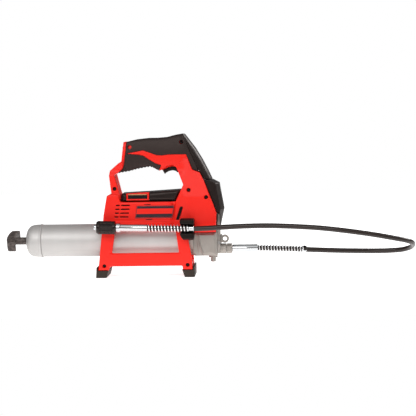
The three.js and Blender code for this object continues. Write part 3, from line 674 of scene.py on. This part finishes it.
def coupler_ferrule():
    profile = [(HOSE_ROOM, 81.8), (6.1, 81.8), (6.6, 82.3), (6.6, 127.2), (7.4, 128.6), (8.3, 129.4),
               (8.6, 130), (8.6, 135.8), (8.2, 136.6), (7.4, 137.4), (2, 137.4), (2, 117), (HOSE_ROOM, 117),
               (HOSE_ROOM, 81.8)]
    return coupler_lathe("coupler_sleeve_ferrule", profile, "zinc_plate", "coupler_ferrule")


def coupler_jaws():
    def slotted(radius, along, turn):
        return radius - 0.9 * (math.cos(4 * turn) > 0.93) * (along > 158)
    profile = [(2, 137.8), (5.6, 137.8), (6, 138.2), (6, 146), (5, 148), (5, 158.1), (5, 171), (4.9, 174.6),
               (4.2, 175.8), (3.6, 175.8), (3.6, 166), (2, 164), (2, 137.8)]
    return coupler_lathe("coupler_jaws", profile, "zinc_plate", "coupler_body", 96, slotted)


KNURL_DEPTH, KNURL_COUNT, KNURL_TWIST = 1.0, 16, 1.4


def coupler_sleeve():
    """Ribbed sleeve: crossed knurling between a plain band at each end."""
    def knurled(radius, along, turn):
        if radius < 11.5:
            return radius
        inside = min(1, max(0, (along - 141) / 1.5)) * min(1, max(0, (166.4 - along) / 1.5))
        left_hand = math.cos(KNURL_COUNT * turn + along * KNURL_TWIST)
        right_hand = math.cos(KNURL_COUNT * turn - along * KNURL_TWIST)
        return radius - KNURL_DEPTH * inside * (0.5 - 0.5 * left_hand * right_hand)
    steps = [(11.9, 139.2 + 0.42 * i) for i in range(67)]
    profile = [(6.3, 138.4), (9.8, 137.8), (11.2, 138.2), *steps, (11.6, 168.4), (9.9, 171), (5.4, 171),
               (5.4, 148.6), (6.3, 146.4), (6.3, 138.4)]
    return coupler_lathe("coupler_grip_sleeve", profile, "sleeve_rubber", "coupler_sleeve", 144, knurled,
                         "coupler_sleeve")


coupler_parts = [
    coupler_guard(), gun_guard(), gun_collar(),
    collar("coupler_crimp_collar", "coupler_collar", COUPLER_START, COUPLER_AXIS, 9.6, 5.7),
    coupler_ferrule(), coupler_jaws(), coupler_sleeve(),
]


def gun_ferrule():
    origin = place(0, 0, 46.9)
    profile = [(HOSE_ROOM, 211), (HOSE_ROOM, 247.6), (5.4, 248), (6, 248), (6.6, 247), (6.6, 204),
               (6, 202.3), (2, 202.3), (2, 211), (HOSE_ROOM, 211)]
    obj = lathe("gun_end_ferrule", profile, origin, (1, 0, 0), MATERIALS["zinc_plate"], 56)
    return finish_piece(obj, "frame", "zinc_plate", "gun_ferrule")


coupler_parts.append(gun_ferrule())


# ---- Shapes of the moulded pieces ----------------------------------------------------------------
def between(value, low, high):
    """0 below low, 1 above high, and a smooth rise between them."""
    t = np.clip((value - low) / (high - low), 0, 1)
    return t * t * (3 - 2 * t)


def along_line(value, line):
    """The line's second coordinate at a first coordinate, for an array of values."""
    firsts, seconds = zip(*sorted(line))
    return np.interp(value, firsts, seconds)


HANDLE_CROWN = 0.3


def crown_handle(p):
    """The handle is fullest along its middle and narrows towards its top and underside."""
    share = between(p[:, 2], 180, 194) * (1 - between(p[:, 0], 108, 124))
    p[:, 1] *= 1 - HANDLE_CROWN * share * np.clip(np.abs(p[:, 2] - 217) / 34, 0, 1) ** 2


GRIP_UNDERSIDE = [(2, 184.4), (22, 187.5), (34, 190.7), (48.5, 193.5), (59, 194.9), (66.5, 192.6),
                  (74, 188.4)]
RIB_PITCH = 5.7
RIB_DEPTH = 1.5


def shape_grip(p):
    """Finger ribs along the grip's underside, behind the trigger."""
    under = along_line(p[:, 0], GRIP_UNDERSIDE)
    near = np.clip(1 - (p[:, 2] - under) / 3.5, 0, 1) * (p[:, 0] < 64)
    p[:, 2] += near * RIB_DEPTH * (0.5 + 0.5 * np.sin(2 * np.pi * p[:, 0] / RIB_PITCH))
    crown_handle(p)


# The ridge down the front column, z and x. The column's side falls away behind it.
FACET_DEPTH, SILL_DEPTH = 3.4, 2.4
COLUMN_RIDGE = [(90, 132), (108, 130), (139, 121), (156, 114.5)]


def shape_housing(p):
    """The crowned handle, the facet behind the column's ridge and the slanted sill of each window."""
    crown_handle(p)
    x, side, z = p[:, 0], np.sign(p[:, 1]), p[:, 2]
    depth = np.abs(p[:, 1])
    ridge = along_line(z, COLUMN_RIDGE)
    facet = np.clip((ridge - x) / 15, 0, 1) * (x > 97) * between(z, 90, 94) * (1 - between(z, 156, 162))
    p[:, 1] -= side * FACET_DEPTH * facet * between(depth, 27, 30)
    sill = np.clip((z - 40.2) / 3.4, 0, 1) * (z < 45) * (x > -13) * (x < 112)
    p[:, 1] -= side * SILL_DEPTH * sill * between(depth, 34, 35.5)


# Edges of the black covers in the middle plane, z and x.
SEAM = [(190.4, 144), (248.6, 118.6), (252.8, 118.6)]
FRONT_EDGE = [(251.8, 121.5), (227.5, 139.8), (207, 152), (186.5, 162.4), (171.5, 169.2)]
CRANK_EDGE = [(89, 183), (102, 185.6), (118.5, 189.4), (133, 186.9), (153.4, 183), (164.7, 181.4),
              (171.2, 169.2)]


def nose(p, edge, reach, least):
    """Rounds a cover across the gun, so that its width grows away from its front edge."""
    behind = np.clip((along_line(p[:, 2], edge) - p[:, 0]) / reach, 0, 1)
    p[:, 1] *= least + (1 - least) * np.sqrt(1 - (1 - behind) ** 2)


SEAM_SHARE, SEAM_REACH = 0.945, 5                   # width at the seam, and how soon it is full
NOSE_REACH, NOSE_SHARE = 17, 0.3                    # length of the rounded nose, and width at its tip
CRANK_REACH, CRANK_SHARE = 6.5, 0.55


def shape_front(p):
    """Flush with the grip along the seam, then a little fuller, then rounded to the front."""
    ahead = np.clip((p[:, 0] - along_line(p[:, 2], SEAM)) / SEAM_REACH, 0, 1)
    p[:, 1] *= SEAM_SHARE + (1 - SEAM_SHARE) * ahead
    nose(p, FRONT_EDGE, NOSE_REACH, NOSE_SHARE)


def shape_crank(p):
    """A flat slanted face runs down the cover's front on each side."""
    behind = np.clip((along_line(p[:, 2], CRANK_EDGE) - p[:, 0]) / CRANK_REACH, 0, 1)
    p[:, 1] *= CRANK_SHARE + (1 - CRANK_SHARE) * behind


JAW_CUT = 5
JAW_HIGH = 9


def shape_clip(p):
    """The lower jaw is cut off slantwise behind."""
    low, high = p.min(axis=0), p.max(axis=0)
    behind = np.clip((high[0] - p[:, 0]) / (high[0] - low[0]), 0, 1)
    down = np.clip((low[2] + JAW_HIGH - p[:, 2]) / JAW_HIGH, 0, 1)
    p[:, 0] += JAW_CUT * behind * down


HEAD_RIDGE = [(37, 152), (52, 147), (78, 142)]      # z and x
RIDGE_HIGH, RIDGE_HALF = 1.6, 1.9


def shape_head(p):
    """A low cast ridge runs down each side of the pump head."""
    gap = np.abs(p[:, 0] - along_line(p[:, 2], HEAD_RIDGE))
    face = between(np.abs(p[:, 1]), 21, 23.5) * (p[:, 2] < 77)
    p[:, 1] += np.sign(p[:, 1]) * face * RIDGE_HIGH * np.clip(1 - gap / RIDGE_HALF, 0, 1)


# Each row: name, CAD node, voxel, rounds, keep, and where needed sculpt and again.
MOULDINGS = [
    ("housing_shell_near", "housing_near", 0.75, 3, 0.3, shape_housing),
    ("housing_shell_far", "housing_far", 0.9, 3, 0.35, shape_housing),
    ("grip_sleeve_near", "grip_near", 0.5, 6, 0.3, shape_grip),
    ("grip_sleeve_far", "grip_far", 0.75, 4, 0.4, shape_grip),
    ("front_cover_shell", "front_cover", 0.7, 3, 0.4, shape_front, 4),
    ("crank_cover_shell", "crank_cover", 0.7, 3, 0.4, shape_crank, 3),
    ("deck_cover_shell", "deck_cover", 0.6, 10, 0.4),
    ("gauge_frame", "gauge_bezel", 0.35, 3, 0.5),
    ("foot_boot_rear", "foot_rear", 0.5, 3, 0.4),
    ("foot_boot_front", "foot_front", 0.5, 3, 0.4),
    ("hose_clip_body", "hose_clip", 0.45, 9, 0.4, shape_clip),
    ("trigger_blade", "trigger", 0.4, 4, 0.5),
    ("battery_case", "battery_pack", 0.7, 3, 0.4),
    ("battery_button", "battery_latch", 0.3, 3, 0.6),
    ("pump_casting", "pump_head", 0.6, 3, 0.4, shape_head),
    ("strap_loop", "strap_eye", 0.4, 3, 0.5),
    ("t_bar", "t_handle", 0.5, 8, 0.5),
]
for row in MOULDINGS:
    moulding(*row)


# ---- Turned pieces of the barrel -----------------------------------------------------------------
BARREL_LINE = place(0, 0, 64.6)


def barrel_lathe(name, profile, slot, body, node, sides=128):
    obj = lathe(name, profile, BARREL_LINE, (1, 0, 0), MATERIALS[slot], sides)
    return finish_piece(obj, body, slot, node)


barrel_lathe("barrel_tube", [
    (26.8, -147), (27.8, -147), (27.8, -137), (28.6, -136.9), (29, -136.4), (29, 117), (28.6, 117.5),
    (27.6, 117.5), (27.6, -135), (26.8, -136), (26.8, -147)], "barrel_metal", "barrel", "barrel")
CAP_OUTSIDE = rounded([
    (28.4, -137.4), (29.9, -137.4), (30.2, -137.9), (30.2, -139.3), (29.3, -140.8), (29.1, -147.5),
    (28.3, -153.5), (26.4, -158.8), (21.5, -163.2), (14.5, -166), (6.2, -167.2)], 3.2, 6)
barrel_lathe("barrel_end_cap", [
    *CAP_OUTSIDE, (3.6, -167.2), (3.6, -164.4), (13.5, -163.2), (19.5, -160.6), (24, -156.6), (26.4, -151),
    (27.2, -147.6), (28.4, -147.3),
    (28.4, -137.4)], "barrel_metal", "barrel", "end_cap")
barrel_lathe("rod", [(0, -183), (2.6, -183), (3, -182.6), (3, 61.6), (2.6, 62), (0, 62)], "steel", "rod",
             "follower_rod", 32)


# ---- Nameplate, gauge window and slot ------------------------------------------------------------
def slab(name, outline, near, far, material, body, slot, *nodes, corner=0.6, bevel=0.25):
    """An outline in x and z with round corners and a small bevel, from y = near to y = far."""
    outline = rounded(outline, corner, 4, closed=True)
    centre = Vector((sum(a for a, _ in outline), sum(b for _, b in outline))) / len(outline)
    layers = []
    for y, inset in ((near, bevel), (near + bevel, 0), (far, 0)):
        layer = []
        for a, b in outline:
            towards = (centre - Vector((a, b))).normalized() * inset
            layer.append(place(a + towards.x, y, b + towards.y))
        layers.append(layer)
    count = len(outline)
    faces = [tuple(range(count)), tuple(range(3 * count - 1, 2 * count - 1, -1))]
    for level in (0, count):
        for i in range(count):
            j = (i + 1) % count
            faces.append((level + i, level + count + i, level + count + j, level + j))
    obj = new_piece(name, [p for layer in layers for p in layer], faces, material)
    return finish_piece(obj, body, slot, *nodes)


PLATE_CORNERS = [(32.3, 105.2), (35.9, 126.6), (101.4, 126.6), (97.8, 105.2)]


def on_plate(across, up):
    """A point of the slanted nameplate: shares of its length and its height."""
    (left, low), (_, high), _, (right, _) = PLATE_CORNERS
    lean = PLATE_CORNERS[1][0] - left
    return left + lean * up + (right - left) * across, low + (high - low) * up


def plate_field(name, left, low, right, high, proud, material, slot):
    outline = [on_plate(left, low), on_plate(left, high), on_plate(right, high), on_plate(right, low)]
    return slab(name, outline, -31.4 - proud, -31.2, material, "frame", slot, corner=0.5, bevel=0.12)


slab("nameplate_base", PLATE_CORNERS, -31.4, -30.3, MATERIALS["nameplate"], "frame", "nameplate", "nameplate",
     corner=0.8)
plate_field("nameplate_red", 0.012, 0.035, 0.988, 0.965, 0.12, MATERIALS["red_plastic"], "red_plastic")
plate_field("nameplate_top_bar", 0.015, 0.79, 0.985, 0.955, 0.3, PLATE_DARK, "nameplate")
plate_field("nameplate_low_bar", 0.015, 0.06, 0.985, 0.34, 0.3, PLATE_DARK, "nameplate")

slab("gauge_window", [(19.9, 139.3), (19.9, 147.5), (53.7, 147.5), (53.7, 139.3)], -25.6, -24.6,
     MATERIALS["gauge_lens"], "frame", "gauge_lens", "gauge_lens", corner=0.8)
slab("gauge_strip", [(20.4, 145.9), (20.4, 147.3), (53.2, 147.3), (53.2, 145.9)], -25.9, -25.5, AMBER,
     "frame", "gauge_lens", corner=0.3, bevel=0.1)


def dark_slab(name, outline, near, far, corner=0.6, bevel=0.25):
    return slab(name, outline, near, far, MATERIALS["clip_plastic"], "frame", "black_plastic", corner=corner,
                bevel=bevel)


SLOT_CORNERS = [(112.3, 124.8), (117.5, 124.8), (109.7, 101.6), (104.5, 101.6)]
dark_slab("slot_liner", SLOT_CORNERS, -31.2, -30.6, corner=1.2)
NOTCH_SHADE_LONG, NOTCH_SHADE_HIGH = 11.4, 1.1       # painted shade: dark slabs for the shadow in the two shallow notches above and below the nameplate
# Painted shade: these flush dark slabs stand in for the shadow inside the notches above and below the
# nameplate.
for name, left, low in (("nameplate_catch_upper", 48.6, 128.5), ("nameplate_catch_lower", 51, 101.7)):
    right, top = left + NOTCH_SHADE_LONG, low + NOTCH_SHADE_HIGH
    dark_slab(name, [(left, low), (left, top), (right, top), (right, low)], -31.1, -30.2, 0.4, 0.1)
FLANGE_SEAL = [(174.9, 85), (174.9, 93), (176.1, 110.6), (178, 110.6), (176.9, 93), (176.9, 85)]
dark_slab("flange_seal_near", FLANGE_SEAL, -24, -18.5, corner=0.3)
dark_slab("flange_seal_far", FLANGE_SEAL, 18.5, 24, corner=0.3)
# Dust screens behind the vents.
SCREEN_OUTLINE = [(-6, 104), (-2, 131), (26, 131), (22, 104)]
dark_slab("dust_screen_near", SCREEN_OUTLINE, -27.9, -27.1)
dark_slab("dust_screen_far", SCREEN_OUTLINE, 27.1, 27.9)


# ---- Screws --------------------------------------------------------------------------------------
def screw(node):
    """A pan head with a six-lobed socket on its thread."""
    low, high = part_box(node)
    origin = Vector((middle(node).x, low.y, middle(node).z))
    length = (high.y - low.y) / MM

    def lobed(radius, along, turn):
        return radius * (1 + 0.14 * math.cos(6 * turn)) if radius < 1.6 and along < 1.5 else radius
    turns = [(1.55 - 0.25 * (i % 2), 3 + 0.5 * i) for i in range(int((length - 4) / 0.5))]
    profile = [(0, 1.4), (1.3, 1.4), (1.45, 0.1), (2.2, 0), (2.75, 0.35), (3, 1), (3, 2.3), (1.55, 2.3),
               *turns, (0.4, length), (0, length)]
    obj = lathe(node + "_torx", profile, origin, (0, 1, 0), MATERIALS["black_steel"], 36, lobed)
    return finish_piece(obj, "frame", SLOT_OF[node], node)


for name in sorted(NODES):
    if name.startswith("screw_"):
        screw(name)


# ---- CAD nodes that are shown as they are --------------------------------------------------------
for name, node in NODES.items():
    node.data.materials.clear()
    node.data.materials.append(MATERIALS[SLOT_OF[name]])
    soft_edges(node, 28)


# ---- Floor, light and colour ---------------------------------------------------------------------
def floor():
    side, near, far, level = 3.0, -0.5, 2.5, -0.0005
    corners = [(-side, near, level), (side, near, level), (side, far, level), (-side, far, level)]
    new_piece("floor", corners, [(0, 1, 2, 3)], floor_material())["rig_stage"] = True


def floor_material():
    tree = Tree("pale_floor")
    tree.colour(tree.mix(tree.noise(3, 2), (0.93, 0.93, 0.93), (0.95, 0.95, 0.95)))
    tree.roughness(tree.spread(tree.noise(9, 2), 0.85, 0.95))
    tree.set(Emission_Color=(1, 1, 1, 1), Emission_Strength=0.72)
    return tree.material


def softbox(name, place_at, look_at, width, height, power):
    data = bpy.data.lights.new(name, "AREA")
    data.shape = "RECTANGLE"
    data.size, data.size_y = width, height
    data.energy = power
    light = bpy.data.objects.new(name, data)
    bpy.context.scene.collection.objects.link(light)
    light.location = place_at
    light.rotation_mode = "QUATERNION"
    light.rotation_quaternion = (Vector(look_at) - Vector(place_at)).to_track_quat("-Z", "Y")


# Strengths of the strip in front, the room above and below it, the part behind, and what the eye sees.
STRIP_LIGHT, ROOM_LIGHT, BEHIND_LIGHT, BACKDROP_LIGHT = 0.02, 0.9, 0.2, 1.0


def surroundings():
    """White to the eye. The gun reflects a bright room above a dark strip in front, and dark behind."""
    world = bpy.data.worlds.new("studio")
    bpy.context.scene.world = world
    world.use_nodes = True
    nodes, links = world.node_tree.nodes, world.node_tree.links

    def rise(value, low, high):
        node = nodes.new("ShaderNodeMapRange")
        node.interpolation_type = "SMOOTHSTEP"
        node.inputs["From Min"].default_value = low
        node.inputs["From Max"].default_value = high
        links.new(value, node.inputs["Value"])
        return node.outputs["Result"]

    def blend(share, first, second):
        node = nodes.new("ShaderNodeMix")
        links.new(share, node.inputs["Factor"])
        for socket, value in ((node.inputs["A"], first), (node.inputs["B"], second)):
            if isinstance(value, float):
                socket.default_value = value
            else:
                links.new(value, socket)
        return node.outputs["Result"]

    split = nodes.new("ShaderNodeSeparateXYZ")
    links.new(nodes.new("ShaderNodeTexCoord").outputs["Generated"], split.inputs[0])
    height = nodes.new("ShaderNodeMath")
    height.operation = "ABSOLUTE"
    links.new(split.outputs["Z"], height.inputs[0])
    front = blend(rise(height.outputs[0], 0.16, 0.42), STRIP_LIGHT, ROOM_LIGHT)
    around = blend(rise(split.outputs["Y"], -0.45, 0.1), front, BEHIND_LIGHT)
    seen = nodes.new("ShaderNodeLightPath").outputs["Is Camera Ray"]
    links.new(blend(seen, around, BACKDROP_LIGHT), nodes["Background"].inputs["Strength"])
    nodes["Background"].inputs["Color"].default_value = (1, 1, 1, 1)


floor()
surroundings()
softbox("key", place(-500, -1900, 1150), TARGET, 2.2, 0.8, 19)
softbox("side", place(1500, 900, 1150), TARGET, 1.0, 0.7, 20)
bpy.context.scene.view_settings.view_transform = "Standard"
bpy.context.scene.view_settings.look = "None"

low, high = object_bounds()
